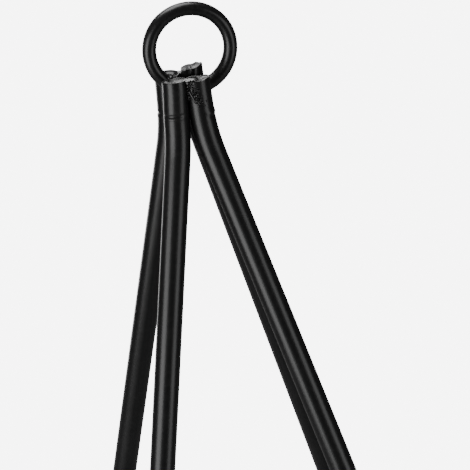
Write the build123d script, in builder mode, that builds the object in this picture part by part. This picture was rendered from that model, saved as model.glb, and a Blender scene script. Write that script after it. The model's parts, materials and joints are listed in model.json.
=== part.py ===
"""Four-legged hunting stand: a welded lifting ring over four bent tubes with sliding lower legs.

Millimetres. The origin is on the ground under the middle of the four feet, +Z is up, and the
ring's eye looks along Y. Each leg leans outward along a diagonal of the square base.
"""

from build123d import *
from math import cos, radians, sin, sqrt, tan
import os

# Ring
ring_inside = 50.0
ring_bar = 10.4
ring_offset = 9.35          # the ring is welded this far to +X of the legs' middle

# Upper legs
tube_od = 19.05
tube_wall = 1.2
splay = 18.0                # lean of each leg from the vertical
bend_drop = 58.6            # from the ring's centre down to where a stub would meet its leg's line
bend_radius = 120.0         # to the tube's centreline
upper_length = 520.0        # along the lean, from the bend's corner to the lower end
front_top_drop = 16.5       # from the ring's centre down to the front tubes' rims
back_top_drop = 20.5
back_right_top_drop = 16.5  # this one was left standing higher
rim_slope = 6.0             # how far each sheared rim is out of square
rim_spare = 12.0            # of stub left above the rim before it is sheared
pair_gap = 0.1              # between the two tubes of a pair

# Weld metal
weld_gap = 0.05             # left between welded pieces and their weld metal
valley_radius = 4.6
valley_length = 21.0
valley_drop = 3.0           # from the rims down to the bead's upper end
valley_out = 6.2            # from the tubes' axes out to the bead's middle
valley_round = 1.6
groove_radius = 2.4
groove_rise = 4.4           # of the bead's middle above the bar's, towards the eye
groove_out = 3.9            # of the bead's middle beside the bar's
groove_start = 279.0        # round the ring, from +X over the top
groove_sweep = 60.0

# Lower legs
slide_clearance = 0.375     # between the lower leg and the upper leg's bore
inner_wall = 1.2
insertion = 200.0           # of the lower leg in the upper, as it stands
exposed = 420.0             # from the upper leg's lower end to the foot's pivot
heel = 8.0                  # of tube past the pivot

# Glide in the top of each lower leg
glide_clearance = 0.08
glide_head = 9.0
glide_plug = 16.0
glide_bore = 4.0

# Clamp: welded boss, screw and wing knob
boss_height = 26.0          # above the upper leg's lower end
boss_od = 15.0
boss_reach = 12.0           # out from the tube's surface
screw_radius = 4.0
screw_clearance = 0.06
tip_gap = 0.08
tip_radius = 3.0
tip_length = 2.0
knob_gap = 1.5              # between the boss and the tight knob
hub_radius = 8.5
hub_height = 12.0
wing_span = 42.0
wing_height = 15.0
wing_thickness = 5.0
wing_lift = 4.0             # of the wings above the hub's lower face
cap_height = 2.5            # of the knob above the screw's end
mould_gap = 0.02            # between a moulding and the metal inside it
boss_chamfer = 0.8

# Swivel foot
pivot_height = 23.0
plate_length = 68.0
plate_width = 46.0
plate_thickness = 3.0
plate_corner = 9.0
ear_thickness = 3.0
ear_radius = 9.0
ear_base = 34.0
ear_root = 2.0              # of the ear's full width above the plate
ear_gap = 0.45              # between the lower leg and each ear
stake_radius = 4.5
stake_reach = 24.0          # from the pivot out to the stake hole

# Pivot bolt
bolt_radius = 3.0
pivot_clearance = 0.08
head_flats = 10.0
head_height = 4.0
nut_height = 6.0
bolt_tail = 1.5             # of thread past the nut
washer_radius = 6.2
washer_thickness = 1.6
face_gap = 0.1

# Worked out from the sizes above
tube_radius = tube_od / 2
tube_bore = tube_radius - tube_wall
inner_radius = tube_bore - slide_clearance
inner_bore = inner_radius - inner_wall
ring_radius = (ring_inside + ring_bar) / 2
rim_rise = tube_radius * tan(radians(rim_slope))
stub_x = tube_radius + pair_gap / 2
stub_y = tube_radius + ring_bar / 2 + weld_gap
lean_out = sin(radians(splay)) / sqrt(2)
lean_down = cos(radians(splay))
leg_length = upper_length + exposed
bend_height = pivot_height + leg_length * lean_down
ring_height = bend_height + bend_drop
foot_x = stub_x + leg_length * lean_out
foot_y = stub_y + leg_length * lean_out
knob_out = tube_radius + boss_reach + knob_gap
ear_inside = inner_radius + ear_gap
ear_outside = ear_inside + ear_thickness
washer_out = ear_outside + face_gap
clamp_out = washer_out + washer_thickness

# Each corner's sides in X and Y, the drop of its rim, and how its wing knob was left turned
corners = {
    "front_left": (-1, -1, front_top_drop, 65),
    "front_right": (1, -1, front_top_drop, -20),
    "back_left": (-1, 1, back_top_drop, 15),
    "back_right": (1, 1, back_right_top_drop, -50),
}

os.makedirs("parts", exist_ok=True)


def save(piece, name):
    """Label a finished piece and write it under its own name."""
    piece.label = name
    export_step(piece, f"parts/{name}.step")


def bend_plane(side_x, side_y):
    """Upright plane through a leg: x outward, y up, its origin at the bend's corner."""
    return Plane(
        origin=(side_x * stub_x, side_y * stub_y, bend_height),
        x_dir=(side_x, side_y, 0),
        z_dir=(side_y, -side_x, 0),
    )


def leg_plane(side_x, side_y, along):
    """Plane square to a leg: z down its axis, x outward, `along` from the bend's corner."""
    place = (
        side_x * (stub_x + along * lean_out),
        side_y * (stub_y + along * lean_out),
        bend_height - along * lean_down,
    )
    down = (side_x * lean_out, side_y * lean_out, -lean_down)
    outward = (side_x * lean_down, side_y * lean_down, sqrt(2) * sin(radians(splay)))
    return Plane(origin=place, x_dir=outward, z_dir=down)


def clamp_plane(side_x, side_y, out):
    """Plane square to a clamp screw: z outward along it, `out` from the leg's axis."""
    leg = leg_plane(side_x, side_y, upper_length - boss_height)
    return Plane(origin=leg.origin, x_dir=leg.y_dir, z_dir=leg.x_dir).offset(out)


def pivot_plane(side_x, side_y):
    """Upright plane at a foot's pivot: x outward, y up, z along the pivot bolt."""
    return Plane(
        origin=(side_x * foot_x, side_y * foot_y, pivot_height),
        x_dir=(side_x, side_y, 0),
        z_dir=(side_y, -side_x, 0),
    )


def foot_plane(side_x, side_y):
    """Ground plane under a foot, with x outward."""
    return Plane(
        origin=(side_x * foot_x, side_y * foot_y, 0),
        x_dir=(side_x, side_y, 0),
        z_dir=(0, 0, 1),
    )


# Ring: one round bar bent to a circle, with its eye along Y
ring_centre = (ring_offset, 0, ring_height)
ring_plane = Plane(origin=ring_centre, x_dir=(1, 0, 0), z_dir=(0, -1, 0))
with BuildPart(ring_plane) as ring:
    Torus(ring_radius, ring_bar / 2)
save(ring.part, "ring")

# Weld metal in the valley between the two tubes of each pair
for pair, side_y, top_drop in (("front", -1, front_top_drop), ("back", 1, back_top_drop)):
    with BuildPart() as valley_weld:
        with BuildSketch(Plane.XY.offset(ring_height - top_drop - valley_drop)):
            with Locations((0, side_y * (stub_y + valley_out))):
                Circle(valley_radius)
        extrude(amount=-valley_length)
        fillet(valley_weld.edges().filter_by(GeomType.CIRCLE), radius=valley_round)
        with BuildSketch(Plane.XY.offset(ring_height)):
            with Locations((-stub_x, side_y * stub_y), (stub_x, side_y * stub_y)):
                Circle(tube_radius + weld_gap)
        extrude(amount=-bend_drop, mode=Mode.SUBTRACT)
    save(valley_weld.part, f"{pair}_valley_weld")

# Weld metal along the ring's bar, in the grooves above it between the bar and the tubes
groove_angle = radians(groove_start)
groove_plane = Plane(
    origin=ring_centre,
    x_dir=(cos(groove_angle), 0, sin(groove_angle)),
    z_dir=(-sin(groove_angle), 0, cos(groove_angle)),
)
with BuildPart() as ring_weld:
    with BuildSketch(groove_plane):
        with Locations((ring_radius - groove_rise, -groove_out), (ring_radius - groove_rise, groove_out)):
            Circle(groove_radius)
    revolve(axis=Axis(ring_centre, (0, 1, 0)), revolution_arc=groove_sweep)
    with Locations(ring_plane):
        Torus(ring_radius, ring_bar / 2 + weld_gap, mode=Mode.SUBTRACT)
    for side_x, side_y, top_drop, _ in corners.values():
        with BuildSketch(Plane.XY.offset(ring_height - top_drop + rim_rise + weld_gap)):
            with Locations((side_x * stub_x, side_y * stub_y)):
                Circle(tube_radius + weld_gap)
        extrude(amount=-bend_drop, mode=Mode.SUBTRACT)
save(ring_weld.part, "ring_weld")

for corner, (side_x, side_y, top_drop, knob_turn) in corners.items():
    # Upper leg: a tube with an upright stub, a bend and a long straight run
    with BuildPart() as upper_leg:
        with BuildLine(bend_plane(side_x, side_y)) as run:
            FilletPolyline(
                (0, bend_drop - top_drop + rim_spare),
                (0, 0),
                (upper_length * sin(radians(splay)), -upper_length * cos(radians(splay))),
                radius=bend_radius,
            )
        with BuildSketch(Plane(origin=run.line @ 0, z_dir=run.line % 0)):
            Circle(tube_radius)
            Circle(tube_bore, mode=Mode.SUBTRACT)
        sweep()
        rim = Plane(
            origin=(side_x * stub_x, side_y * stub_y, ring_height - top_drop),
            z_dir=(side_x * sin(radians(rim_slope)), 0, cos(radians(rim_slope))),
        )
        split(bisect_by=rim, keep=Keep.BOTTOM)
        with BuildSketch(clamp_plane(side_x, side_y, 0)):
            Circle(screw_radius + screw_clearance)
        extrude(amount=tube_od, mode=Mode.SUBTRACT)
    save(upper_leg.part, f"{corner}_upper_leg")

    # Boss: a tapped collar saddled on the upper leg and welded there
    with BuildPart() as boss:
        mouth = clamp_plane(side_x, side_y, tube_radius + boss_reach)
        with BuildSketch(mouth):
            Circle(boss_od / 2)
        extrude(amount=-boss_reach - tube_wall)
        chamfer(boss.edges().sort_by(Axis(mouth.origin, mouth.z_dir))[-1], length=boss_chamfer)
        with BuildSketch(leg_plane(side_x, side_y, upper_length)):
            Circle(tube_radius + weld_gap)
        extrude(amount=-boss_height * 2, mode=Mode.SUBTRACT)
        with BuildSketch(clamp_plane(side_x, side_y, 0)):
            Circle(screw_radius + screw_clearance)
        extrude(amount=knob_out, mode=Mode.SUBTRACT)
    save(boss.part, f"{corner}_clamp_boss")

    # Clamp screw: a reduced tip that bears on the lower leg, and a shank up into the knob
    with BuildPart() as screw:
        with BuildSketch(clamp_plane(side_x, side_y, inner_radius + tip_gap)):
            Circle(tip_radius)
        extrude(amount=tip_length)
        with BuildSketch(clamp_plane(side_x, side_y, inner_radius + tip_gap + tip_length)):
            Circle(screw_radius)
        extrude(amount=knob_out + hub_height - cap_height - inner_radius - tip_gap - tip_length)
    save(screw.part, f"{corner}_clamp_screw")

    # Wing knob: a round hub with two wings, moulded on the screw
    knob_plane = clamp_plane(side_x, side_y, knob_out)
    with BuildPart() as knob:
        with BuildSketch(knob_plane):
            Circle(hub_radius)
        extrude(amount=hub_height)
        with BuildSketch(knob_plane.offset(wing_lift)):
            SlotOverall(wing_span, wing_thickness, rotation=knob_turn)
        extrude(amount=wing_height)
        with BuildSketch(knob_plane):
            Circle(screw_radius + mould_gap)
        extrude(amount=hub_height - cap_height, mode=Mode.SUBTRACT)
    save(knob.part, f"{corner}_wing_knob")

    # Lower leg: a tube that slides in the upper leg and is drilled for the foot's bolt
    with BuildPart() as lower_leg:
        with BuildSketch(leg_plane(side_x, side_y, upper_length - insertion)):
            Circle(inner_radius)
            Circle(inner_bore, mode=Mode.SUBTRACT)
        extrude(amount=insertion + exposed + heel)
        with BuildSketch(pivot_plane(side_x, side_y)):
            Circle(bolt_radius + pivot_clearance)
        extrude(amount=2 * inner_radius, both=True, mode=Mode.SUBTRACT)
    save(lower_leg.part, f"{corner}_lower_leg")

    # Glide: a plug in the lower leg's top whose head runs in the upper leg's bore
    glide_plane = leg_plane(side_x, side_y, upper_length - insertion - glide_head)
    with BuildPart() as glide:
        with BuildSketch(glide_plane):
            Circle(tube_bore - glide_clearance)
        extrude(amount=glide_head)
        with BuildSketch(glide_plane.offset(glide_head)):
            Circle(inner_bore - mould_gap)
        extrude(amount=glide_plug)
        with BuildSketch(glide_plane):
            Circle(glide_bore)
        extrude(amount=glide_head + glide_plug, mode=Mode.SUBTRACT)
    save(glide.part, f"{corner}_glide")

    # Foot: a flat plate with a stake hole, and two ears welded on it for the pivot
    with BuildPart() as foot:
        with BuildSketch(foot_plane(side_x, side_y)):
            RectangleRounded(plate_length, plate_width, plate_corner)
            with Locations((stake_reach, 0)):
                Circle(stake_radius, mode=Mode.SUBTRACT)
        extrude(amount=plate_thickness)
        for side in (-1, 1):
            with BuildSketch(pivot_plane(side_x, side_y).offset(side * ear_inside)):
                Circle(ear_radius)
                with Locations((0, (plate_thickness - pivot_height) + ear_root / 2)):
                    Rectangle(ear_base, ear_root)
                make_hull()
                Circle(bolt_radius + pivot_clearance, mode=Mode.SUBTRACT)
            extrude(amount=side * ear_thickness)
    save(foot.part, f"{corner}_foot")

    # Pivot bolt, its washers and its locking nut
    bolt_plane = pivot_plane(side_x, side_y)
    with BuildPart() as bolt:
        with BuildSketch(bolt_plane.offset(-clamp_out)):
            RegularPolygon(head_flats / 2, 6, major_radius=False)
        extrude(amount=-head_height)
        with BuildSketch(bolt_plane.offset(-clamp_out)):
            Circle(bolt_radius)
        extrude(amount=2 * clamp_out + nut_height + bolt_tail)
    save(bolt.part, f"{corner}_foot_bolt")

    with BuildPart() as washers:
        for face in (-clamp_out, washer_out):
            with BuildSketch(bolt_plane.offset(face)):
                Circle(washer_radius)
                Circle(bolt_radius + pivot_clearance, mode=Mode.SUBTRACT)
            extrude(amount=washer_thickness)
    save(washers.part, f"{corner}_foot_washers")

    with BuildPart() as nut:
        with BuildSketch(bolt_plane.offset(clamp_out)):
            RegularPolygon(head_flats / 2, 6, major_radius=False)
            Circle(bolt_radius + pivot_clearance, mode=Mode.SUBTRACT)
        extrude(amount=nut_height)
    save(nut.part, f"{corner}_foot_nut")
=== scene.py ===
"""Looks of the four-legged hunting stand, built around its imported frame. Metres, +Z up."""

import json
import math
import random

import bmesh
import bpy
from mathutils import Matrix, Vector, noise


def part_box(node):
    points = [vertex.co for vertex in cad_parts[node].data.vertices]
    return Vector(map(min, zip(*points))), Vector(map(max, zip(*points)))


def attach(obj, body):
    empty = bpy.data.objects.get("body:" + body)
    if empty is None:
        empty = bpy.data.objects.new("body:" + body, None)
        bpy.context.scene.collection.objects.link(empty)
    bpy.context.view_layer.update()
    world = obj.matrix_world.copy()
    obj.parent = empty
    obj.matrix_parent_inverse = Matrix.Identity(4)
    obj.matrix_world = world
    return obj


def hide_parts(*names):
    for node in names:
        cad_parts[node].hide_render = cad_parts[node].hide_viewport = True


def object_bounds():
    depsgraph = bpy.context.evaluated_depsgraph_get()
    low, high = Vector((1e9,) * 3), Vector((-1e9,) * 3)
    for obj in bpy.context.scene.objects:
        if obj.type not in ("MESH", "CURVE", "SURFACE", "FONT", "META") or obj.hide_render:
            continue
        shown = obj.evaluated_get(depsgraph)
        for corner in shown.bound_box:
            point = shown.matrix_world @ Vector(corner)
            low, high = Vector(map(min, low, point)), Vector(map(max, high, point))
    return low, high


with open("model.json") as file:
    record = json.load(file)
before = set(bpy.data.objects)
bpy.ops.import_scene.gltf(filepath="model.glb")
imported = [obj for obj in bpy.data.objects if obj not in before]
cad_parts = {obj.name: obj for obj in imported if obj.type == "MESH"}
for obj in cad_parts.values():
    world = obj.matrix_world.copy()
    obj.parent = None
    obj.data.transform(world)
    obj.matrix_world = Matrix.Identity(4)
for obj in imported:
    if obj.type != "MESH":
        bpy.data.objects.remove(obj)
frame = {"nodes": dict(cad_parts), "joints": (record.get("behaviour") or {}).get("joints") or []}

cad_low, cad_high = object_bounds()
joints = {joint["name"]: joint for joint in frame["joints"]}
CORNERS = {
    "front_left": (-1, -1),
    "front_right": (1, -1),
    "back_left": (-1, 1),
    "back_right": (1, 1),
}

UP = Vector((0, 0, 1))
FULL_TURN = 2 * math.pi

# Stock sizes that the pieces share
TUBE_RADIUS = 0.009525
TUBE_WALL = 0.0012
INNER_RADIUS = 0.00795
BEND_RADIUS = 0.120

ring_low, ring_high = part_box("ring")
ring_middle = (ring_low + ring_high) / 2
bar_radius = (ring_high.y - ring_low.y) / 2
ring_radius = (ring_high.x - ring_low.x) / 2 - bar_radius


# ---------------------------------------------------------------- camera, floor and light

VIEW_DISTANCE = 1.518       # from the lens to the ring
VIEW_YAW = math.radians(8.48)
VIEW_DIP = math.radians(20.79)
VIEW_ROLL = math.radians(7.706)
AIM_RIGHT = 0.0330          # of the ring, where the lens points
AIM_DOWN = 0.1363
LENS = 158.9
SENSOR_WIDTH = 36


def place_camera():
    """A long lens at head height, looking down at the ring from a little left of the front."""
    yaw_sin, yaw_cos = math.sin(VIEW_YAW), math.cos(VIEW_YAW)
    dip_sin, dip_cos = math.sin(VIEW_DIP), math.cos(VIEW_DIP)
    level = Matrix((
        (yaw_cos, -yaw_sin, 0),
        (dip_sin * yaw_sin, dip_sin * yaw_cos, dip_cos),
        (-dip_cos * yaw_sin, -dip_cos * yaw_cos, dip_sin),
    ))
    rolled = Matrix.Rotation(VIEW_ROLL, 3, "Z") @ level
    turn = rolled.transposed()
    data = bpy.data.cameras.new("camera")
    data.lens = LENS
    data.sensor_width = SENSOR_WIDTH
    camera = bpy.data.objects.new("camera", data)
    bpy.context.scene.collection.objects.link(camera)
    centre = ring_middle + turn @ Vector((AIM_RIGHT, -AIM_DOWN, VIEW_DISTANCE))
    camera.matrix_world = Matrix.Translation(centre) @ turn.to_4x4()
    bpy.context.scene.camera = camera


def soft_box(name, place, target, width, height, power):
    """A rectangular soft light that isn't seen itself."""
    data = bpy.data.lights.new(name, "AREA")
    data.shape = "RECTANGLE"
    data.size = width
    data.size_y = height
    data.energy = power
    lamp = bpy.data.objects.new(name, data)
    bpy.context.scene.collection.objects.link(lamp)
    facing = (place - target).to_track_quat("Z", "Y").to_matrix().to_4x4()
    lamp.matrix_world = Matrix.Translation(place) @ facing
    lamp.visible_camera = False


BOX_HEIGHT = 1.7            # of the three soft boxes round the stand


def light_studio():
    """Tall soft boxes to the left, to the right and behind, and two broad ones overhead and high behind."""
    middle = Vector((0, 0, cad_high.z * 0.55))
    for name, bearing, distance, width, power in (
        ("left_box", -55, 1.9, 1.3, 39),
        ("right_box", 42, 1.9, 0.95, 14),
        ("rim_box", -155, 2.2, 0.5, 11),
    ):
        angle = math.radians(bearing)
        place = Vector((math.sin(angle) * distance, -math.cos(angle) * distance, middle.z))
        soft_box(name, place, middle, width, BOX_HEIGHT, power)
    soft_box("top_box", Vector((-0.2, 0.3, 2.6)), middle, 1.4, 1.4, 50)
    soft_box("back_box", Vector((0.1, 2.1, 1.85)), middle, 1.5, 0.8, 14)


def seen_or_lit(tree, seen, lit):
    """A mix of two shaders: the first as the lens sees it, the second as glosses and walls see it."""
    path = tree.nodes.new("ShaderNodeLightPath")
    mix = tree.nodes.new("ShaderNodeMixShader")
    tree.links.new(path.outputs["Is Camera Ray"], mix.inputs[0])
    tree.links.new(lit, mix.inputs[1])
    tree.links.new(seen, mix.inputs[2])
    return mix.outputs[0]


PALE = (1.0, 1.0, 1.0, 1)
PALE_GLOW = 7.0             # of the world to the lens, so that it comes out nearly white
DIM_FLOOR = (0.22, 0.22, 0.22, 1)
DIM_WALL = 0.09             # of the world to everything else
SHADE_REACH = 0.05          # of the soft shade round each foot
FLOOR_HALF = 8


def lay_floor():
    """A plain pale floor, and the same pale tone behind it.

    The lens sees the pale tone through the floor, with a soft shade wherever something is near.
    Feet that are slid out below the floor stay in sight and stay lit.
    """
    bm = bmesh.new()
    bmesh.ops.create_grid(bm, x_segments=1, y_segments=1, size=FLOOR_HALF)
    mesh = bpy.data.meshes.new("floor")
    bm.to_mesh(mesh)
    bm.free()
    floor = bpy.data.objects.new("floor", mesh)
    bpy.context.scene.collection.objects.link(floor)
    material = bpy.data.materials.new("pale_floor")
    material.use_nodes = True
    tree = material.node_tree
    dim = tree.nodes["Principled BSDF"]
    dim.inputs["Base Color"].default_value = DIM_FLOOR
    dim.inputs["Roughness"].default_value = 0.9
    dim.inputs["Specular IOR Level"].default_value = 0.1
    near = tree.nodes.new("ShaderNodeAmbientOcclusion")
    near.inputs["Distance"].default_value = SHADE_REACH
    shade = tree.nodes.new("ShaderNodeBsdfTransparent")
    tree.links.new(near.outputs["Color"], shade.inputs["Color"])
    clear = tree.nodes.new("ShaderNodeBsdfTransparent")
    path = tree.nodes.new("ShaderNodeLightPath")
    mix = tree.nodes.new("ShaderNodeMixShader")
    tree.links.new(path.outputs["Is Shadow Ray"], mix.inputs[0])
    tree.links.new(seen_or_lit(tree, shade.outputs[0], dim.outputs[0]), mix.inputs[1])
    tree.links.new(clear.outputs[0], mix.inputs[2])
    tree.links.new(mix.outputs[0], tree.nodes["Material Output"].inputs["Surface"])
    mesh.materials.append(material)

    world = bpy.data.worlds.new("studio")
    bpy.context.scene.world = world
    world.use_nodes = True
    tree = world.node_tree
    bright = tree.nodes["Background"]
    bright.inputs["Color"].default_value = PALE
    bright.inputs["Strength"].default_value = PALE_GLOW
    dim = tree.nodes.new("ShaderNodeBackground")
    dim.inputs["Color"].default_value = PALE
    dim.inputs["Strength"].default_value = DIM_WALL
    shown = seen_or_lit(tree, bright.outputs[0], dim.outputs[0])
    tree.links.new(shown, tree.nodes["World Output"].inputs["Surface"])


# ---------------------------------------------------------------- shared shader effects

def group_tree(name, inputs, outputs):
    """An empty shader group with these float or colour sockets, and its two end nodes."""
    tree = bpy.data.node_groups.new(name, "ShaderNodeTree")
    for label, kind, value in inputs:
        socket = tree.interface.new_socket(label, in_out="INPUT", socket_type=kind)
        socket.default_value = value
    for label, kind in outputs:
        tree.interface.new_socket(label, in_out="OUTPUT", socket_type=kind)
    return tree, tree.nodes.new("NodeGroupInput"), tree.nodes.new("NodeGroupOutput")


def feed(tree, value, socket):
    """Gives a socket its value: a link from another socket, a number or a colour."""
    if isinstance(value, (int, float, tuple)):
        socket.default_value = value
    else:
        tree.links.new(value, socket)


def noise_node(tree, vector, scale, detail=2.0, roughness=0.5):
    """A noise texture fed with this vector."""
    node = tree.nodes.new("ShaderNodeTexNoise")
    feed(tree, scale, node.inputs["Scale"])
    node.inputs["Detail"].default_value = detail
    node.inputs["Roughness"].default_value = roughness
    tree.links.new(vector, node.inputs["Vector"])
    return node.outputs["Fac"]


def ramp_node(tree, value, low, high):
    """The value stretched so that low becomes 0 and high becomes 1."""
    node = tree.nodes.new("ShaderNodeMapRange")
    node.interpolation_type = "SMOOTHSTEP"
    node.inputs["From Min"].default_value = low
    node.inputs["From Max"].default_value = high
    tree.links.new(value, node.inputs["Value"])
    return node.outputs["Result"]


def math_node(tree, operation, first, second):
    """One sum on two values, each a socket or a number."""
    node = tree.nodes.new("ShaderNodeMath")
    node.operation = operation
    feed(tree, first, node.inputs[0])
    feed(tree, second, node.inputs[1])
    return node.outputs[0]


def add_share(tree, base, mask, amount):
    """The base plus this much of the mask."""
    return math_node(tree, "ADD", math_node(tree, "MULTIPLY", mask, amount), base)


def mix_colour(tree, factor, first, second):
    """A mix of two colours, each a socket or four numbers."""
    node = tree.nodes.new("ShaderNodeMix")
    node.data_type = "RGBA"
    tree.links.new(factor, node.inputs["Factor"])
    feed(tree, first, node.inputs[6])
    feed(tree, second, node.inputs[7])
    return node.outputs[2]


def object_place(tree):
    """The object's own coordinates."""
    return tree.nodes.new("ShaderNodeTexCoord").outputs["Object"]


def build_orange_peel():
    """The slight orange peel and the fine grit of powder coat, as a height."""
    tree, source, sink = group_tree(
        "orange_peel",
        [("Peel Scale", "NodeSocketFloat", 420.0), ("Grit", "NodeSocketFloat", 0.3)],
        [("Height", "NodeSocketFloat")],
    )
    place = object_place(tree)
    peel = noise_node(tree, place, source.outputs["Peel Scale"], detail=1.0)
    grit = noise_node(tree, place, 2600.0, detail=1.0)
    tree.links.new(add_share(tree, peel, grit, source.outputs["Grit"]), sink.inputs["Height"])
    return tree


def build_edge_wear():
    """Where the coat is rubbed: along edges, from the wear attribute, broken up by noise."""
    tree, source, sink = group_tree(
        "edge_wear",
        [("Amount", "NodeSocketFloat", 0.5), ("Scale", "NodeSocketFloat", 260.0)],
        [("Mask", "NodeSocketFloat")],
    )
    edge = tree.nodes.new("ShaderNodeAttribute")
    edge.attribute_name = "wear"
    patches = noise_node(tree, object_place(tree), source.outputs["Scale"], detail=4.0, roughness=0.65)
    rubbed = math_node(tree, "MULTIPLY", edge.outputs["Fac"], ramp_node(tree, patches, 0.46, 0.66))
    tree.links.new(math_node(tree, "MULTIPLY", rubbed, source.outputs["Amount"]), sink.inputs["Mask"])
    return tree


def build_dust():
    """A thin uneven film of dust and handling marks."""
    tree, source, sink = group_tree(
        "dust_film",
        [("Amount", "NodeSocketFloat", 0.3)],
        [("Mask", "NodeSocketFloat")],
    )
    place = object_place(tree)
    clouds = ramp_node(tree, noise_node(tree, place, 26.0, detail=5.0, roughness=0.6), 0.42, 0.75)
    specks = ramp_node(tree, noise_node(tree, place, 900.0, detail=2.0), 0.68, 0.78)
    film = add_share(tree, specks, clouds, 0.6)
    tree.links.new(math_node(tree, "MULTIPLY", film, source.outputs["Amount"]), sink.inputs["Mask"])
    return tree


def build_plating():
    """The faint mottle of bright zinc."""
    tree, source, sink = group_tree(
        "zinc_mottle",
        [("Scale", "NodeSocketFloat", 300.0)],
        [("Mask", "NodeSocketFloat")],
    )
    mottle = noise_node(tree, object_place(tree), source.outputs["Scale"], detail=3.0)
    tree.links.new(ramp_node(tree, mottle, 0.35, 0.7), sink.inputs["Mask"])
    return tree


ORANGE_PEEL = build_orange_peel()
EDGE_WEAR = build_edge_wear()
DUST_FILM = build_dust()
ZINC_MOTTLE = build_plating()


def place_group(tree, group, **values):
    """The group placed in a material with its own values; the node's sockets are returned."""
    node = tree.nodes.new("ShaderNodeGroup")
    node.node_tree = group
    for label, value in values.items():
        node.inputs[label.replace("_", " ")].default_value = value
    return node.outputs


def new_material(name):
    """A material with its node tree and its Principled shader."""
    material = bpy.data.materials.new(name)
    material.use_nodes = True
    return material, material.node_tree, material.node_tree.nodes["Principled BSDF"]


def bump_from(tree, shader, height, distance):
    """The shader's normal bumped by this height."""
    bump = tree.nodes.new("ShaderNodeBump")
    bump.inputs["Distance"].default_value = distance
    bump.inputs["Strength"].default_value = 1.0
    tree.links.new(height, bump.inputs["Height"])
    tree.links.new(bump.outputs["Normal"], shader.inputs["Normal"])


PRIMER_GREY = (0.075, 0.074, 0.072, 1)
ZINC_DULL = (0.50, 0.51, 0.53, 1)
ZINC_BRIGHT = (0.66, 0.66, 0.65, 1)
ZINC_DUST = (0.22, 0.20, 0.17, 1)


def coated_steel(name, tone, gloss_roughness, wear, dust, peel=0.00002, grit=0.3, peel_scale=420.0):
    """Black powder coat over steel: peel, rubbed edges down to grey primer, and a dust film.

    Like the next two, it returns the material and a slot name, which place_piece unpacks and does not use.
    """
    material, tree, shader = new_material(name)
    rubbed = place_group(tree, EDGE_WEAR, Amount=wear)["Mask"]
    film = place_group(tree, DUST_FILM, Amount=dust)["Mask"]
    coat = (tone, tone, tone * 1.04, 1)
    dusty = mix_colour(tree, film, coat, (tone * 5 + 0.02, tone * 5 + 0.019, tone * 5 + 0.017, 1))
    worn = mix_colour(tree, rubbed, dusty, PRIMER_GREY)
    tree.links.new(worn, shader.inputs["Base Color"])
    rough = add_share(tree, gloss_roughness, film, 0.35)
    tree.links.new(add_share(tree, rough, rubbed, 0.2), shader.inputs["Roughness"])
    shader.inputs["Specular IOR Level"].default_value = 0.35
    bump_from(tree, shader, place_group(tree, ORANGE_PEEL, Peel_Scale=peel_scale, Grit=grit)["Height"], peel)
    return material, name


def zinc_plate():
    """Bright zinc on the screws and bolts, mottled, under a thin film of dust."""
    material, tree, shader = new_material("zinc_plate")
    mottle = place_group(tree, ZINC_MOTTLE, Scale=420.0)["Mask"]
    tone = mix_colour(tree, mottle, ZINC_DULL, ZINC_BRIGHT)
    film = place_group(tree, DUST_FILM, Amount=0.35)["Mask"]
    tree.links.new(mix_colour(tree, film, tone, ZINC_DUST), shader.inputs["Base Color"])
    shader.inputs["Metallic"].default_value = 1.0
    rough = add_share(tree, 0.26, mottle, 0.12)
    tree.links.new(add_share(tree, rough, film, 0.3), shader.inputs["Roughness"])
    bump_from(tree, shader, mottle, 0.00001)
    return material, "zinc_plate"


def moulded_plastic(name, colour, roughness, grain, slot=None):
    """A moulded plastic with a fine spark-eroded grain and handling dust."""
    material, tree, shader = new_material(name)
    film = place_group(tree, DUST_FILM, Amount=0.3)["Mask"]
    rubbed = place_group(tree, EDGE_WEAR, Amount=0.5, Scale=400.0)["Mask"]
    lighter = tuple(min(1.0, value * 1.6 + 0.03) for value in colour[:3]) + (1,)
    tone = mix_colour(tree, film, colour, lighter)
    tree.links.new(mix_colour(tree, rubbed, tone, lighter), shader.inputs["Base Color"])
    tree.links.new(add_share(tree, roughness, film, 0.25), shader.inputs["Roughness"])
    bump_from(tree, shader, place_group(tree, ORANGE_PEEL, Peel_Scale=1800.0, Grit=1.0)["Height"], grain)
    return material, slot or name


POWDER_COAT = coated_steel("powder_coat", 0.0045, 0.30, wear=0.35, dust=0.10)
COATED_WELD = coated_steel(
    "coated_weld", 0.0035, 0.08, wear=0.05, dust=0.05, peel=0.00016, grit=0.25, peel_scale=900.0,
)
LEG_COAT = coated_steel("lower_leg_coat", 0.006, 0.34, wear=0.6, dust=0.18)
FOOT_COAT = coated_steel("foot_coat", 0.006, 0.38, wear=0.9, dust=0.35, peel=0.00003)
ZINC = zinc_plate()
KNOB_PLASTIC = moulded_plastic("knob_plastic", (0.012, 0.012, 0.013, 1), 0.45, 0.00002)
GLIDE_PLASTIC = moulded_plastic("glide_plastic", (0.72, 0.71, 0.66, 1), 0.4, 0.00001)
NYLON = moulded_plastic("nut_nylon", (0.05, 0.14, 0.42, 1), 0.4, 0.00001, slot="glide_plastic")


# ---------------------------------------------------------------- mesh helpers

SMOOTH_ANGLE = math.radians(35)
WORN_ANGLE = math.radians(40)       # of an edge that is worn the most
EASED_ANGLE = math.radians(32)      # from which an edge is rounded
BOSS_EASE = 0.0003                  # how far the edges of each CAD copy are rounded
LEG_EASE = 0.0002
FOOT_EASE = 0.0005


def spread(first, last, step):
    """Evenly spaced values from first to last, about `step` apart, without the last."""
    count = max(1, round(abs(last - first) / step))
    return [first + (last - first) * index / count for index in range(count)]


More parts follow.
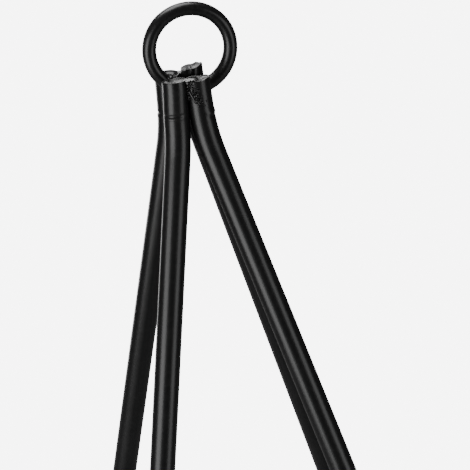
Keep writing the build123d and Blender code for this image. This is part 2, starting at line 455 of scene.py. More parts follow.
def mark_wear(mesh):
    """A wear attribute on each point of the surface: 1 on outward edges, 0 on flats and in hollows."""
    bm = bmesh.new()
    bm.from_mesh(mesh)
    layer = bm.verts.layers.float.new("wear")
    for vert in bm.verts:
        bends = [edge.calc_face_angle_signed(0.0) for edge in vert.link_edges if len(edge.link_faces) == 2]
        vert[layer] = min(1.0, max(0.0, max(bends, default=0.0) / WORN_ANGLE))
    bm.to_mesh(mesh)
    bm.free()


def place_piece(name, mesh, body, finish, *nodes):
    """A finished mesh as a piece of the stand, riding on its body in place of its CAD nodes."""
    material, slot = finish
    mark_wear(mesh)
    mesh.materials.clear()
    mesh.materials.append(material)
    piece = bpy.data.objects.new(name, mesh)
    bpy.context.scene.collection.objects.link(piece)
    mesh.shade_smooth()
    mesh.set_sharp_from_angle(angle=SMOOTH_ANGLE)
    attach(piece, body)
    if nodes:
        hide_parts(*nodes)


def place_made(name, bm, body, finish, *nodes):
    """A piece from a bmesh, after its doubled points are merged and its faces turned outward."""
    bmesh.ops.remove_doubles(bm, verts=bm.verts, dist=1e-7)
    bmesh.ops.recalc_face_normals(bm, faces=bm.faces)
    mesh = bpy.data.meshes.new(name)
    bm.to_mesh(mesh)
    bm.free()
    place_piece(name, mesh, body, finish, *nodes)


def skin_stations(bm, stations, sides):
    """A round skin through the stations, each a matrix that places a unit circle. Its loops of points."""
    verts = bmesh.ops.create_grid(bm, x_segments=sides, y_segments=len(stations) - 1, size=0.5)["verts"]
    columns = sides + 1
    turns = spread(0, FULL_TURN, FULL_TURN / sides)
    circle = [Vector((math.cos(turn), math.sin(turn), 0)) for turn in turns]
    loops = [verts[row * columns:row * columns + sides] for row in range(len(stations))]
    seam = {}
    for row, (loop, place) in enumerate(zip(loops, stations)):
        for vert, spot in zip(loop, circle):
            vert.co = place @ spot
        seam[verts[row * columns + sides]] = loop[0]
    bmesh.ops.weld_verts(bm, targetmap=seam)
    return loops


def loop_edges(loop):
    """The open edges between the points of a loop."""
    members = set(loop)
    found = {edge for vert in loop for edge in vert.link_edges if edge.is_boundary}
    return sorted((edge for edge in found if members.issuperset(edge.verts)), key=lambda edge: edge.index)


def close_end(bm, loop):
    """The open end at this loop closed with one face."""
    bm.edges.index_update()
    bmesh.ops.edgeloop_fill(bm, edges=loop_edges(loop))


def close_skin(bm, loops, ring=False):
    """Both ends of a skin closed, each with its own face or, on a ring, joined to each other."""
    if ring:
        bm.edges.index_update()
        bmesh.ops.bridge_loops(bm, edges=loop_edges(loops[0]) + loop_edges(loops[-1]))
    else:
        close_end(bm, loops[0])
        close_end(bm, loops[-1])


def station(place, across, along, radius):
    """A matrix that puts a unit circle at a place, square to `along`."""
    along = along.normalized()
    side = along.cross(across).normalized()
    facing = side.cross(along)
    turn = Matrix((facing, side, along)).transposed().to_4x4()
    return Matrix.Translation(place) @ turn @ Matrix.Diagonal((radius, radius, radius, 1))


def eased(node, width):
    """A copy of a CAD node's mesh with its facets merged and its hard edges rounded."""
    bm = bmesh.new()
    bm.from_mesh(frame["nodes"][node].data)
    bmesh.ops.remove_doubles(bm, verts=bm.verts, dist=2e-6)
    bmesh.ops.dissolve_limit(bm, angle_limit=math.radians(1), verts=bm.verts, edges=bm.edges)
    mesh = bpy.data.meshes.new(node)
    bm.to_mesh(mesh)
    bm.free()
    holder = bpy.data.objects.new("holder", mesh)
    bpy.context.scene.collection.objects.link(holder)
    bevel = holder.modifiers.new("ease", "BEVEL")
    bevel.width = width
    bevel.segments = 3
    bevel.limit_method = "ANGLE"
    bevel.angle_limit = EASED_ANGLE
    bevel.use_clamp_overlap = True
    bevel.miter_outer = "MITER_ARC"
    shaped = bpy.data.meshes.new_from_object(holder.evaluated_get(bpy.context.evaluated_depsgraph_get()))
    bpy.data.objects.remove(holder)
    return shaped


def ripple_bead(bm, points, across, radius, rng, pitch, sides=14, closed=False):
    """Weld metal along the points: a low rope of overlapping ripples, tapered at open ends."""
    count = len(points)
    stations = []
    for index, point in enumerate(points):
        before = points[(index - 1) % count] if closed or index else point
        after = points[(index + 1) % count] if closed or index < count - 1 else point
        travel = (after - before).normalized()
        run = sum((points[i + 1] - points[i]).length for i in range(index))
        wave = 0.5 + 0.5 * math.cos(FULL_TURN * run / pitch)
        swell = radius * (0.90 + 0.10 * wave ** 2 + rng.uniform(-0.04, 0.04))
        if not closed:
            end = min(index, count - 1 - index) / (count - 1)
            swell *= 0.35 + 0.65 * math.sin(min(1.0, end * 9) * math.pi / 2)
        stations.append(station(point, across, travel, swell))
    close_skin(bm, skin_stations(bm, stations, sides), ring=closed)


# ---------------------------------------------------------------- where the legs run

class LegLine:
    """One leg's lines, read from the frame: its upright stub, its bend, its lean and its foot."""

    def __init__(self, corner):
        self.side_x, self.side_y = CORNERS[corner]
        low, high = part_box(f"{corner}_upper_leg")
        self.down = Vector(joints[f"{corner}_leg_slide"]["axis"]).normalized()
        self.pivot = Vector(joints[f"{corner}_foot_pivot"]["pos_m"])
        self.bolt_way = Vector(joints[f"{corner}_foot_pivot"]["axis"]).normalized()
        self.clamp = Vector(joints[f"{corner}_knob_turn"]["pos_m"])
        self.out = Vector(joints[f"{corner}_knob_turn"]["axis"]).normalized()
        stub_x = high.x - TUBE_RADIUS if self.side_x < 0 else low.x + TUBE_RADIUS
        stub_y = high.y - TUBE_RADIUS if self.side_y < 0 else low.y + TUBE_RADIUS
        lean = math.acos(-self.down.z)
        along = (self.pivot.x - stub_x) / self.down.x
        self.corner_point = self.pivot - self.down * along
        self.stub = Vector((stub_x, stub_y, high.z))
        self.tangent = BEND_RADIUS * math.tan(lean / 2)
        self.lean = lean
        self.side = UP.cross(self.down).normalized()
        self.across = self.down.cross(self.out)
        self.outward = Vector((self.down.x, self.down.y, 0)).normalized()
        end_height = low.z + TUBE_RADIUS * math.sin(lean)
        self.straight = self.stub.z - (self.corner_point.z + self.tangent)
        self.arc = BEND_RADIUS * lean
        leaning = (self.corner_point.z - end_height) / math.cos(lean)
        self.total = self.straight + self.arc + leaning - self.tangent

    def at(self, run):
        """The place and way of travel this far down the centreline from the stub's top."""
        if run <= self.straight:
            return self.stub - UP * run, -UP
        if run > self.straight + self.arc:
            past = run - self.straight - self.arc + self.tangent
            return self.corner_point + self.down * past, self.down
        turn = (run - self.straight) / BEND_RADIUS
        start = Vector((self.corner_point.x, self.corner_point.y, self.corner_point.z + self.tangent))
        centre = start + self.outward * BEND_RADIUS
        drop = UP * (BEND_RADIUS * math.sin(turn))
        place = centre - self.outward * BEND_RADIUS * math.cos(turn) - drop
        return place, self.outward * math.sin(turn) - UP * math.cos(turn)


LEGS = {corner: LegLine(corner) for corner in CORNERS}


# ---------------------------------------------------------------- ring

RING_SIDES = 48
RING_STEPS = 220
SEAM_BEARING = math.radians(-112)   # of the ring's butt weld
SEAM_WIDTH = math.radians(3.0)
SEAM_SWELL = 0.00015
DRAW_MARKS = 0.00006        # of the bar's slight unevenness


def make_ring():
    """The ring: a round bar spun about its eye, with the slight swell of its butt weld low down."""
    bm = bmesh.new()
    start = Matrix.Translation(ring_middle + Vector((ring_radius, 0, 0)))
    bmesh.ops.create_circle(bm, segments=RING_SIDES, radius=bar_radius, matrix=start)
    bmesh.ops.spin(
        bm, geom=bm.verts[:] + bm.edges[:], cent=ring_middle, axis=(0, 1, 0), dvec=(0, 0, 0),
        angle=FULL_TURN, steps=RING_STEPS, use_merge=True,
    )
    for vert in bm.verts:
        arm = vert.co - ring_middle
        heart = ring_middle + Vector((arm.x, 0, arm.z)).normalized() * ring_radius
        bearing = math.atan2(arm.z, arm.x)
        seam = math.exp(-((bearing - SEAM_BEARING) / SEAM_WIDTH) ** 2)
        draw = noise.noise(Vector((math.cos(bearing) * 3, math.sin(bearing) * 3, 1.7)))
        vert.co += (vert.co - heart).normalized() * (SEAM_SWELL * seam + DRAW_MARKS * draw)
    place_made("lifting_ring", bm, "frame", POWDER_COAT, "ring")


# ---------------------------------------------------------------- upper legs

PINCH_RUN = 0.036           # of each stub's top that was squeezed towards its neighbour
PAIR_GAP = 0.00005
RIM_ROUND = 0.0006
CAVITY_TOP = 0.016          # below the rim, where the open bore ends
TOP_RUN = 0.012             # of each stub's top that the hammering reached
MARKED_RUN = (0.068, 0.028)     # where the bender's marks are, from the lower end to the upper
BEND_LOW = 0.11             # just past the bend
SWELL_RUN = 0.06            # where the bend left the tube a little oval


class TopShape:
    """How one tube's top was left: squeezed, its rim sheared, rucked or folded in, and dished."""

    def __init__(self, pinch, tilt_way, tilt, dish, ruck, ripple, seed, drop=0.0, fold=0.0, fold_way=0):
        self.pinch = pinch
        self.tilt_way = math.radians(tilt_way)
        self.tilt = tilt
        self.dish = dish
        self.ruck = ruck
        self.ripple = ripple
        self.seed = seed
        self.drop = drop
        self.fold = fold
        self.fold_way = math.radians(fold_way)

    def rise(self, bearing):
        """The rim's height at this bearing about the stub, never above the stub's own top."""
        slope = self.tilt * (math.cos(bearing - self.tilt_way) - 1) / 2 - self.drop
        rough = noise.noise(Vector((math.cos(bearing) * 1.3, math.sin(bearing) * 1.3, self.seed)))
        return slope - self.ruck * abs(rough)

    def fold_in(self, arm):
        """How far the rim at this arm from the stub's middle is hammered inward, as a flat move."""
        way = Vector((math.cos(self.fold_way), math.sin(self.fold_way), 0))
        return way * (-self.fold * max(0.0, arm.dot(way)) / TUBE_RADIUS)

    def squeeze(self, run):
        """How far the stub is pushed towards its neighbour this far down from its top."""
        return self.pinch * (0.5 + 0.5 * math.cos(math.pi * min(1.0, run / PINCH_RUN)))


TOPS = {
    "front_left": TopShape(
        pinch=0.0024, tilt_way=-110, tilt=0.0016, dish=0.0012, ruck=0.0006, ripple=0.0006, seed=3.1,
        drop=0.0011,
    ),
    "front_right": TopShape(
        pinch=0.0004, tilt_way=-30, tilt=0.0014, dish=0.0018, ruck=0.0018, ripple=0.0012, seed=7.7,
        drop=0.0020,
    ),
    "back_left": TopShape(
        pinch=0.0012, tilt_way=100, tilt=0.0012, dish=0.0030, ruck=0.0004, ripple=0.0008, seed=12.4,
    ),
    "back_right": TopShape(
        pinch=0.0002, tilt_way=-20, tilt=0.0030, dish=0.0010, ruck=0.0020, ripple=0.0012, seed=21.9,
        fold=0.0036, fold_way=200,
    ),
}


def divide(side_y, run):
    """Where two paired stubs meet this far down: the left one was pushed over into the right one."""
    return TOPS["front_left" if side_y < 0 else "back_left"].squeeze(run)


class BendMark:
    """A mark that the bender's shoe left: a shallow dent across part of the tube."""

    def __init__(self, run, bearing, depth, reach=60, width=0.0011):
        self.run = run
        self.bearing = math.radians(bearing)
        self.depth = depth
        self.reach = math.radians(reach)
        self.width = width

    def press(self, run, bearing):
        """How far the mark moves the surface here, inward being negative."""
        turn = math.remainder(bearing - self.bearing, FULL_TURN)
        across = math.exp(-((turn / self.reach) ** 4))
        offset = (run - self.run) / self.width
        step = -math.exp(-offset ** 2) + 0.45 * math.exp(-((offset - 2.2) ** 2))
        return self.depth * across * step


MARKS = {
    "front_left": [BendMark(0.0266, -120, 0.00050), BendMark(0.062, 60, 0.0003)],
    "front_right": [BendMark(0.0290, -25, -0.00045, reach=45, width=0.0016), BendMark(0.058, 150, 0.0003)],
    "back_left": [BendMark(0.0295, 175, 0.00045, reach=50), BendMark(0.060, -20, 0.0003)],
    "back_right": [BendMark(0.0350, 40, 0.00040), BendMark(0.061, -130, 0.0003)],
}


def shape_stub(leg, top, marks, vert, run, place, outer):
    """Moves one point of a tube's skin: the squeeze at the top, the sheared rim and the bend marks."""
    arm = vert.co - place
    bearing = math.atan2(arm.y, arm.x)
    if outer:
        ovality = 0.00012 * math.exp(-((run - SWELL_RUN) / 0.03) ** 2) * math.cos(2 * bearing)
        push = ovality + sum(mark.press(run, bearing) for mark in marks)
        way = Vector((arm.x, arm.y, 0)).normalized()
        vert.co += way * push
    if run < PINCH_RUN:
        vert.co.x -= leg.side_x * top.squeeze(run)
        depth = max(0.0, 1 - run / TOP_RUN)
        vert.co.z += top.rise(bearing) * depth
        vert.co += top.fold_in(arm) * depth
    wall = PAIR_GAP if outer else PAIR_GAP + TUBE_WALL
    middle = divide(leg.side_y, run)
    vert.co.x = middle + leg.side_x * max(leg.side_x * (vert.co.x - middle), wall)


def make_upper_leg(corner):
    """An upper leg: one skin from the bore's closed top, down inside, round the end and up outside."""
    leg, top = LEGS[corner], TOPS[corner]
    total = leg.total
    bore = TUBE_RADIUS - TUBE_WALL
    inner_runs = [CAVITY_TOP, CAVITY_TOP + 0.0005] + spread(CAVITY_TOP + 0.002, 0.10, 0.004)
    inner_runs += spread(0.10, total - 0.0005, 0.05) + [total - 0.0003]
    marks_low, marks_high = MARKED_RUN
    outer_runs = [total - 0.0003] + spread(total - 0.0008, BEND_LOW, 0.03)
    outer_runs += spread(BEND_LOW, marks_low, 0.0018)
    outer_runs += spread(marks_low, marks_high, 0.0006) + spread(marks_high, 0.002, 0.0009) + [0.0016, 0.0010]
    plan = [(run, bore * (0.25 if index == 0 else 1.0), False) for index, run in enumerate(inner_runs)]
    plan += [(total, bore + 0.0003, False), (total, TUBE_RADIUS - 0.0003, True)]
    plan += [(run, TUBE_RADIUS, True) for run in outer_runs]
    for turn in (0, 18, 36, 54, 72, 90):
        inset = RIM_ROUND * (1 - math.cos(math.radians(turn)))
        plan.append((RIM_ROUND * (1 - math.sin(math.radians(turn))), TUBE_RADIUS - inset, True))
    plan += [(0.0001, bore + 0.0002, True), (RIM_ROUND, bore - 0.0001, True)]
    for share in (0.95, 0.88, 0.78, 0.64, 0.48, 0.32, 0.16, 0.04):
        plan.append((RIM_ROUND + top.dish * (1 - share ** 3), bore * share, True))

    bm = bmesh.new()
    stations = [station(*leg_place(leg, run), radius) for run, radius, _ in plan]
    loops = skin_stations(bm, stations, 96)
    for loop, (run, radius, outer), spot in zip(loops, plan, stations):
        marks = MARKS[corner] if radius == TUBE_RADIUS else []
        for vert in loop:
            shape_stub(leg, top, marks, vert, run, spot.translation, outer)
            if outer and run <= top.dish + RIM_ROUND and radius < bore:
                ripple = noise.noise(Vector((vert.co.x, vert.co.y, 0)) * 260 + Vector((0, 0, top.seed)))
                vert.co.z += top.ripple * ripple * (1 - radius / bore)
    close_skin(bm, loops)
    place_made(f"{corner}_upper_tube", bm, "frame", POWDER_COAT, f"{corner}_upper_leg")


def leg_place(leg, run):
    """The first three arguments of a station this far down the leg."""
    place, travel = leg.at(run)
    return place, leg.side, travel


# ---------------------------------------------------------------- weld metal

VALLEY_RUN = 0.0175
VALLEY_SLANT = {"front": 0.0056, "back": -0.0025}
WELD_DROP = 0.0020          # of the weld's top below the rim
WEB_RADIUS = 0.0040
BEAD_RADIUS = 0.0021
TOE_RADIUS = 0.0013         # of the smooth bead along the weld's lower edge
WELD_ROUGHNESS = 0.00110
SPATTER_COUNT = 90
SPATTER_SIZES = (0.00025, 0.00085)


def stub_surface(side_y, x, z):
    """The outer surface of a pair of stubs at this x and height, and its normal."""
    pair = "front" if side_y < 0 else "back"
    run = max(0.0, LEGS[f"{pair}_left"].stub.z - z)
    corner = pair + ("_left" if x < divide(side_y, run) else "_right")
    leg = LEGS[corner]
    middle = leg.stub.x - leg.side_x * TOPS[corner].squeeze(run)
    across = x - middle
    reach = math.sqrt(max(0.0, TUBE_RADIUS ** 2 - across ** 2))
    return Vector((x, leg.stub.y + side_y * reach, z)), Vector((across, side_y * reach, 0)).normalized()


def roughen(verts, way, depth, scale, seed):
    """Moves these points along one way by noise."""
    for vert in verts:
        vert.co += way * depth * noise.noise(vert.co * scale + Vector((0, seed, 0)))


def drop_spatter(bm, places, rng):
    """Small beads of spatter stuck at these places."""
    for place in places:
        size = rng.uniform(*SPATTER_SIZES)
        squash = Matrix.Diagonal((size, size * 0.7, size * rng.uniform(0.8, 1.3), 1))
        bmesh.ops.create_icosphere(bm, subdivisions=2, radius=1.0, matrix=Matrix.Translation(place) @ squash)


def make_valley_weld(pair, side_y):
    """Weld metal in the valley of a pair: a web that fills it, a rough slanting bead over it, and spatter."""
    rng = random.Random(pair)
    slant = VALLEY_SLANT[pair]
    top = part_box(f"{pair}_left_upper_leg")[1].z - WELD_DROP
    depth = LEGS[f"{pair}_left"].stub.y
    across = Vector((1, 0, 0))
    bm = bmesh.new()
    web = []
    for share in spread(0, 1.0001, 1 / 30):
        sway = 0.0005 * math.sin(share * 5) + divide(side_y, VALLEY_RUN * share)
        place = Vector((sway, depth + side_y * (0.0046 - 0.0026 * share), top - VALLEY_RUN * share))
        web.append(station(place, across, -UP, WEB_RADIUS * (1 - 0.6 * share ** 1.6)))
    close_skin(bm, skin_stations(bm, web, 28))
    points = []
    for share in spread(0, 1.0001, 1 / 40):
        x = divide(side_y, VALLEY_RUN * share) + slant * share ** 1.2 + 0.0003 * math.sin(share * 11)
        place, normal = stub_surface(side_y, x, top - 0.0006 - VALLEY_RUN * share)
        points.append(place - normal * 0.0006)
    ripple_bead(bm, points, across, BEAD_RADIUS, rng, pitch=0.0020, sides=24)
    roughen(bm.verts, Vector((0, side_y, 0)), WELD_ROUGHNESS, 850, len(pair))
    points = []
    for share in spread(0.3, 1.0001, 1 / 40):
        toe = 0.0024 * (1 - share) + 0.0008
        x = divide(side_y, VALLEY_RUN * share) + slant * share ** 1.2 - math.copysign(toe, slant)
        place, normal = stub_surface(side_y, x, top - 0.0006 - VALLEY_RUN * share)
        points.append(place + normal * 0.0003)
    ripple_bead(bm, points, across, TOE_RADIUS, rng, pitch=0.0060)
    spots = []
    for _ in range(SPATTER_COUNT):
        share = rng.random()
        stray = math.copysign(rng.gauss(0.0010, 0.0016), slant)
        x = divide(side_y, VALLEY_RUN * share) + slant * share + stray
        spots.append(stub_surface(side_y, x, top - VALLEY_RUN * share * 1.15)[0])
    drop_spatter(bm, spots, rng)
    place_made(f"{pair}_valley_bead", bm, "frame", COATED_WELD, f"{pair}_valley_weld")


GROOVE_RADIUS = 0.0024
GROOVE_RISE = 0.0044
GROOVE_SWEEP = (221, 277)   # degrees round the ring from +X over the top


def make_ring_weld():
    """The beads in the two grooves above the ring's bar, between it and the tubes."""
    rng = random.Random("ring")
    low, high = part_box("ring_weld")
    middle = (high.y + low.y) / 2
    half = (high.y - low.y) / 2 - GROOVE_RADIUS
    bm = bmesh.new()
    for side in (-1, 1):
        points = []
        for bearing in spread(*GROOVE_SWEEP, 1):
            angle = math.radians(bearing)
            arm = Vector((math.cos(angle), 0, math.sin(angle))) * (ring_radius - GROOVE_RISE)
            points.append(ring_middle + arm + Vector((0, middle + side * half - ring_middle.y, 0)))
        ripple_bead(bm, points, Vector((0, 1, 0)), GROOVE_RADIUS, rng, pitch=0.0021, sides=18)
    roughen(bm.verts, UP, 0.00025, 900, 5.3)
    place_made("ring_bead", bm, "frame", COATED_WELD, "ring_weld")


# ---------------------------------------------------------------- turned pieces

def turned(bm, place, way, across, profile, sides, ring=False):
    """A skin turned about `way` from (height, radius) steps, closed by its ends or as a ring."""
    stations = [station(place + way * height, across, way, radius) for height, radius in profile]
    loops = skin_stations(bm, stations, sides)
    close_skin(bm, loops, ring)
    return loops


def threads(start, end, radius, pitch, depth):
    """(height, radius) steps of ring-shaped threads from start to end, both at the root."""
    tooth = ((0.15, depth), (0.45, 0), (0.6, 0), (0.9, depth))
    steps = [(start, radius - depth)]
    for base in spread(start, end, pitch)[:-1]:
        steps += [(base + pitch * share, radius - cut) for share, cut in tooth]
    return steps + [(end - 0.0004, radius - depth), (end, radius - depth - 0.0004)]


# ---------------------------------------------------------------- clamps

BOSS_RADIUS = 0.0075
SCREW_RADIUS = 0.004
TIP_GAP = 0.00008
TIP_LENGTH = 0.002
TIP_RADIUS = 0.0028
SCREW_PITCH = 0.00125
KNOB_OUT = TUBE_RADIUS + 0.0135     # from the leg's axis out to the knob's lower face
HUB_RADIUS = 0.0085
HUB_HEIGHT = 0.012
POCKET_HEIGHT = 0.0096      # of the screw's place in the knob
POCKET_RADIUS = 0.00402
FLUTES = 18
FLUTE_DEPTH = 0.0006
WING_REACH = 0.021
WING_HALF = 0.0025
WING_LOW = 0.004
WING_HIGH = 0.019
KNOB_TURNS = {"front_left": 65, "front_right": -20, "back_left": 15, "back_right": -50}


def make_boss(corner):
    """The tapped boss with its edges eased, and the bead that welds it to the tube."""
    leg = LEGS[corner]
    node = f"{corner}_clamp_boss"
    place_piece(f"{corner}_boss", eased(node, BOSS_EASE), "frame", POWDER_COAT, node)

    bm = bmesh.new()
    radius = BOSS_RADIUS + 0.0005
    points = []
    for turn in spread(0, FULL_TURN, math.radians(3)):
        across = radius * math.sin(turn)
        out = math.sqrt(TUBE_RADIUS ** 2 - across ** 2) + 0.0003
        points.append(leg.clamp + leg.down * radius * math.cos(turn) + leg.side * across + leg.out * out)
    ripple_bead(bm, points, leg.out, 0.0016, random.Random(corner), pitch=0.0019, sides=12, closed=True)
    roughen(bm.verts, leg.out, 0.0002, 900, leg.side_x)
    place_made(f"{corner}_boss_bead", bm, "frame", COATED_WELD)


def make_clamp_screw(corner):
    """The clamp screw: a turned-down tip, and a threaded shank up into the knob."""
    leg = LEGS[corner]
    start = INNER_RADIUS + TIP_GAP
    shank = start + TIP_LENGTH
    end = KNOB_OUT + POCKET_HEIGHT - 0.0001
    profile = [(start, TIP_RADIUS - 0.0004), (start + 0.0004, TIP_RADIUS), (shank - 0.0001, TIP_RADIUS)]
    profile += threads(shank, end, SCREW_RADIUS, SCREW_PITCH, 0.0006)
    bm = bmesh.new()
    turned(bm, leg.clamp, leg.out, leg.down, profile, 40)
    place_made(f"{corner}_screw", bm, f"{corner}_clamp", ZINC, f"{corner}_clamp_screw")


def knob_hub(bm, leg):
    """A fluted hub with a domed cap and a pocket for the screw."""
    pocket = [(POCKET_HEIGHT, 0.0010), (POCKET_HEIGHT, POCKET_RADIUS), (0.0003, POCKET_RADIUS)]
    skirt = [(0.0, POCKET_RADIUS + 0.0003), (0.0, HUB_RADIUS - 0.0012), (0.0003, HUB_RADIUS - 0.0007)]
    fluted = [(0.0011, HUB_RADIUS), (0.0085, HUB_RADIUS)]
    dome = [(0.0098, HUB_RADIUS - 0.0002), (0.0108, HUB_RADIUS - 0.0010), (0.0114, HUB_RADIUS - 0.0022)]
    levels = pocket + skirt + fluted + dome + [(0.0118, HUB_RADIUS - 0.0042), (HUB_HEIGHT, 0.0010)]
    loops = turned(bm, leg.clamp + leg.out * KNOB_OUT, leg.out, leg.down, levels, FLUTES * 8)
    for loop, (height, radius) in zip(loops, levels):
        if radius == HUB_RADIUS:
            heart = leg.clamp + leg.out * (KNOB_OUT + height)
            for vert in loop:
                arm = vert.co - heart
                bearing = math.atan2(arm.dot(leg.side), arm.dot(leg.down))
                vert.co -= arm.normalized() * FLUTE_DEPTH * max(0.0, math.cos(FLUTES * bearing))


def wing_section(reach):
    """Half thickness, lower edge and upper edge of the wings this far along them."""
    share = abs(reach)
    past = max(0.0, share - (WING_REACH - WING_HALF)) / WING_HALF
    dish = math.exp(-((share - 0.0135) / 0.0045) ** 2)
    thick = (WING_HALF - 0.0006 * dish) * math.sqrt(max(0.0, 1 - past ** 2))
    arch = min(1.0, max(0.0, (0.0068 - share) / 0.0018))
    corner = max(0.0, share - 0.0150) / 0.0060
    round_off = 0.0050 * (1 - math.sqrt(max(0.0, 1 - corner ** 2)))
    saddle = 0.0052 * math.exp(-(share / 0.0062) ** 2)
    return thick, WING_LOW + 0.0064 * arch + round_off, WING_HIGH - saddle - round_off


def knob_wings(bm, leg, turn):
    """Two wings joined over the hub by a low saddle, dished where a finger and thumb press."""
    angle = math.radians(turn)
    along = leg.across * math.cos(angle) + leg.down * math.sin(angle)
    thin = leg.out.cross(along)
    reaches = [-WING_REACH * math.sin(math.pi * index / 96) for index in range(-48, 49)]
    heart = leg.clamp + leg.out * KNOB_OUT
    unit = 0.001
    stations = [station(heart + along * reach, leg.out, along, unit) for reach in reaches]
    loops = skin_stations(bm, stations, 48)
    for loop, reach in zip(loops, reaches):
        thick, low, high = wing_section(reach)
        thick = max(thick, 0.0001)
        for vert in loop:
            arm = vert.co - heart - along * reach
            rise, side = arm.dot(leg.out) / unit, arm.dot(thin) / unit
            square = (rise ** 4 + side ** 4) ** 0.25
            rise, side = rise / square, side / square
            out = (low + high) / 2 + rise * (high - low) / 2
            vert.co = heart + along * reach + leg.out * out + thin * side * thick
    close_skin(bm, loops)


def make_wing_knob(corner):
    """The knob on the clamp screw: its hub and its wings, left at this corner's own turn."""
    leg = LEGS[corner]
    bm = bmesh.new()
    knob_hub(bm, leg)
    knob_wings(bm, leg, KNOB_TURNS[corner])
    place_made(f"{corner}_knob", bm, f"{corner}_knob", KNOB_PLASTIC, f"{corner}_wing_knob")


# ---------------------------------------------------------------- lower legs

GLIDE_RADIUS = TUBE_RADIUS - TUBE_WALL - 0.00008
GLIDE_BORE = 0.004
PLUG_RADIUS = INNER_RADIUS - TUBE_WALL - 0.00002
GLIDE_HEAD = 0.009
GLIDE_PLUG = 0.016


def make_lower_leg(corner):
    """The lower leg with its cut ends and bolt holes eased, and the glide in its top."""
    leg = LEGS[corner]
    node = f"{corner}_lower_leg"
    place_piece(f"{corner}_lower_tube", eased(node, LEG_EASE), f"{corner}_shank", LEG_COAT, node)

    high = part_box(f"{corner}_glide")[1]
    rise = high.z - leg.pivot.z + GLIDE_RADIUS * -math.sin(leg.lean)
    top = leg.pivot + leg.down * (rise / leg.down.z)
    groove = GLIDE_RADIUS - 0.0004
    end = GLIDE_HEAD + GLIDE_PLUG
    profile = [
        (0.0004, GLIDE_BORE), (0.0, GLIDE_BORE + 0.0004), (0.0, GLIDE_RADIUS - 0.0008),
        (0.0003, GLIDE_RADIUS - 0.0003), (0.0009, GLIDE_RADIUS), (0.0038, GLIDE_RADIUS),
        (0.0041, groove), (0.0049, groove), (0.0052, GLIDE_RADIUS), (GLIDE_HEAD - 0.0003, GLIDE_RADIUS),
        (GLIDE_HEAD, GLIDE_RADIUS - 0.0003), (GLIDE_HEAD, PLUG_RADIUS + 0.0001),
        (GLIDE_HEAD + 0.0001, PLUG_RADIUS), (end - 0.0010, PLUG_RADIUS), (end, PLUG_RADIUS - 0.0006),
        (end, GLIDE_BORE + 0.0003), (end - 0.0003, GLIDE_BORE),
    ]
    bm = bmesh.new()
    turned(bm, top, leg.down, leg.side, profile, 64, ring=True)
    place_made(f"{corner}_end_glide", bm, f"{corner}_shank", GLIDE_PLASTIC, f"{corner}_glide")


# ---------------------------------------------------------------- feet and their bolts

EAR_OUTSIDE = INNER_RADIUS + 0.00045 + 0.003
WASHER_OUT = EAR_OUTSIDE + 0.0001
WASHER_THICK = 0.0016
CLAMP_OUT = WASHER_OUT + WASHER_THICK
WASHER_RADIUS = 0.0062
BOLT_RADIUS = 0.003
BOLT_HOLE = 0.00308
HEX_HALF = 0.005
HEX_WIDE = HEX_HALF * 1.2       # past the hexagon's corners
HEX_INSET = HEX_HALF * 0.97     # where the chamfer of an end face starts
HEAD_HEIGHT = 0.004
NUT_HEIGHT = 0.006
NUT_HEX = 0.0044            # of the nut's height that is a hexagon
NUT_COLLAR = 0.0043         # the radius of the round collar over it
BOLT_TAIL = 0.0015
PLATE_THICK = 0.003
EAR_BASE = 0.034


def make_foot(corner):
    """The foot with its pressed edges eased, and the beads that weld its ears to the plate."""
    leg = LEGS[corner]
    node = f"{corner}_foot"
    place_piece(f"{corner}_foot_plate", eased(node, FOOT_EASE), f"{corner}_sole", FOOT_COAT, node)

    rng = random.Random(corner + "foot")
    ground = Vector((leg.pivot.x, leg.pivot.y, PLATE_THICK + 0.0003))
    bm = bmesh.new()
    for side in (-1, 1):
        points = []
        for share in spread(-0.46, 0.4601, 0.02):
            wander = 0.0002 * math.sin(share * 40)
            aside = leg.bolt_way * side * (EAR_OUTSIDE + 0.0003 + wander)
            points.append(ground + leg.outward * EAR_BASE * share + aside)
        ripple_bead(bm, points, UP, 0.0014, rng, pitch=0.0018, sides=12)
    roughen(bm.verts, UP, 0.0002, 900, leg.side_y)
    place_made(f"{corner}_ear_beads", bm, f"{corner}_sole", FOOT_COAT)


def hexed(loops, heights, heart, way, across):
    """Squeezes round loops to a hexagon, and draws its corners back from both end faces."""
    third = way.cross(across)
    first, last = min(heights), max(heights)
    for loop, height in zip(loops, heights):
        for vert in loop:
            arm = vert.co - heart - way * height
            bearing = math.atan2(arm.dot(third), arm.dot(across))
            corner = HEX_HALF / math.cos(math.remainder(bearing, math.radians(60)))
            reach = min(arm.length, corner)
            drop = max(0.0, reach - HEX_INSET) * 0.55
            vert.co = heart + way * max(first + drop, min(last - drop, height)) + arm.normalized() * reach


def hex_profile(start, end):
    """(height, radius) steps of a plain head, before it is squeezed to a hexagon."""
    thick = abs(end - start)
    way = 1 if end > start else -1
    inner = HEX_INSET * 0.8
    steps = [(0, 0.0010), (0, inner), (0, HEX_INSET), (0, HEX_WIDE), (thick * 0.2, HEX_WIDE)]
    steps += [(thick * 0.8, HEX_WIDE), (thick, HEX_WIDE), (thick, HEX_INSET), (thick, inner), (thick, 0.0010)]
    return [(start + way * rise, radius) for rise, radius in steps]


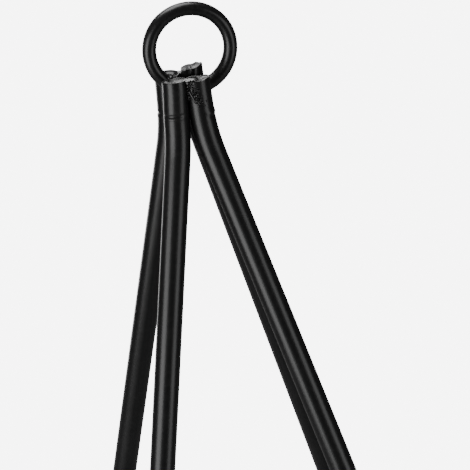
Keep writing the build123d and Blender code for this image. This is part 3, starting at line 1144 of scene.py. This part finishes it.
def make_bolt(corner):
    """The pivot bolt: a hexagonal head, a plain shank and a threaded tail through the nut."""
    leg = LEGS[corner]
    bm = bmesh.new()
    profile = hex_profile(-CLAMP_OUT - HEAD_HEIGHT, -CLAMP_OUT)
    loops = turned(bm, leg.pivot, leg.bolt_way, UP, profile, 96)
    hexed(loops, [height for height, _ in profile], leg.pivot, leg.bolt_way, UP)
    end = CLAMP_OUT + NUT_HEIGHT + BOLT_TAIL
    start = -CLAMP_OUT - 0.0005
    shank = [(start, 0.0020), (start, BOLT_RADIUS), (CLAMP_OUT - 0.0040, BOLT_RADIUS)]
    shank += threads(CLAMP_OUT - 0.0038, end, BOLT_RADIUS, 0.001, 0.0005)
    turned(bm, leg.pivot, leg.bolt_way, UP, shank, 40)
    place_made(f"{corner}_pivot_bolt", bm, f"{corner}_shank", ZINC, f"{corner}_foot_bolt")


def make_washers(corner):
    """The two stamped washers, rounded on the face that the punch entered."""
    leg = LEGS[corner]
    bm = bmesh.new()
    thick = WASHER_THICK
    profile = [
        (0, BOLT_HOLE + 0.0002), (0, WASHER_RADIUS - 0.0002), (0.0002, WASHER_RADIUS),
        (thick - 0.0004, WASHER_RADIUS), (thick - 0.0001, WASHER_RADIUS - 0.0002),
        (thick, WASHER_RADIUS - 0.0005), (thick, BOLT_HOLE + 0.0003), (thick - 0.0003, BOLT_HOLE),
        (0.0002, BOLT_HOLE),
    ]
    for side in (-1, 1):
        way = leg.bolt_way * side
        turned(bm, leg.pivot + way * WASHER_OUT, way, UP, profile, 64, ring=True)
    place_made(f"{corner}_washer_pair", bm, f"{corner}_shank", ZINC, f"{corner}_foot_washers")


def make_nut(corner):
    """The locking nut: a hexagon with a round collar over it, and a nylon ring held in the collar."""
    leg = LEGS[corner]
    heart = leg.pivot + leg.bolt_way * CLAMP_OUT
    top, lip, collar = NUT_HEX, NUT_HEIGHT, NUT_COLLAR
    hexagon = [
        (0.0003, BOLT_HOLE), (0, BOLT_HOLE + 0.0004), (0, HEX_INSET), (0, HEX_WIDE), (top * 0.2, HEX_WIDE),
        (top * 0.8, HEX_WIDE), (top, HEX_WIDE), (top, HEX_INSET), (top, collar + 0.0001),
    ]
    turned_collar = [
        (top + 0.0001, collar), (lip - 0.0005, collar), (lip - 0.0001, collar - 0.0003),
        (lip, collar - 0.0005), (lip - 0.0001, collar - 0.0008), (lip - 0.0004, collar - 0.0009),
        (top + 0.0004, collar - 0.0009), (top + 0.0003, BOLT_HOLE),
    ]
    bm = bmesh.new()
    loops = turned(bm, heart, leg.bolt_way, UP, hexagon + turned_collar, 96, ring=True)
    hexed(loops[:len(hexagon)], [height for height, _ in hexagon], heart, leg.bolt_way, UP)
    place_made(f"{corner}_lock_nut", bm, f"{corner}_shank", ZINC, f"{corner}_foot_nut")

    insert = [
        (top + 0.0005, BOLT_HOLE), (top + 0.0005, collar - 0.0010), (lip - 0.0005, collar - 0.0010),
        (lip - 0.0003, collar - 0.0012), (lip - 0.0004, BOLT_HOLE),
    ]
    bm = bmesh.new()
    turned(bm, heart, leg.bolt_way, UP, insert, 48, ring=True)
    place_made(f"{corner}_nut_insert", bm, f"{corner}_shank", NYLON)


# ---------------------------------------------------------------- the whole stand

place_camera()
light_studio()
lay_floor()
make_ring()
make_ring_weld()
make_valley_weld("front", -1)
make_valley_weld("back", 1)
for corner_name in CORNERS:
    make_upper_leg(corner_name)
    make_boss(corner_name)
    make_clamp_screw(corner_name)
    make_wing_knob(corner_name)
    make_lower_leg(corner_name)
    make_foot(corner_name)
    make_bolt(corner_name)
    make_washers(corner_name)
    make_nut(corner_name)
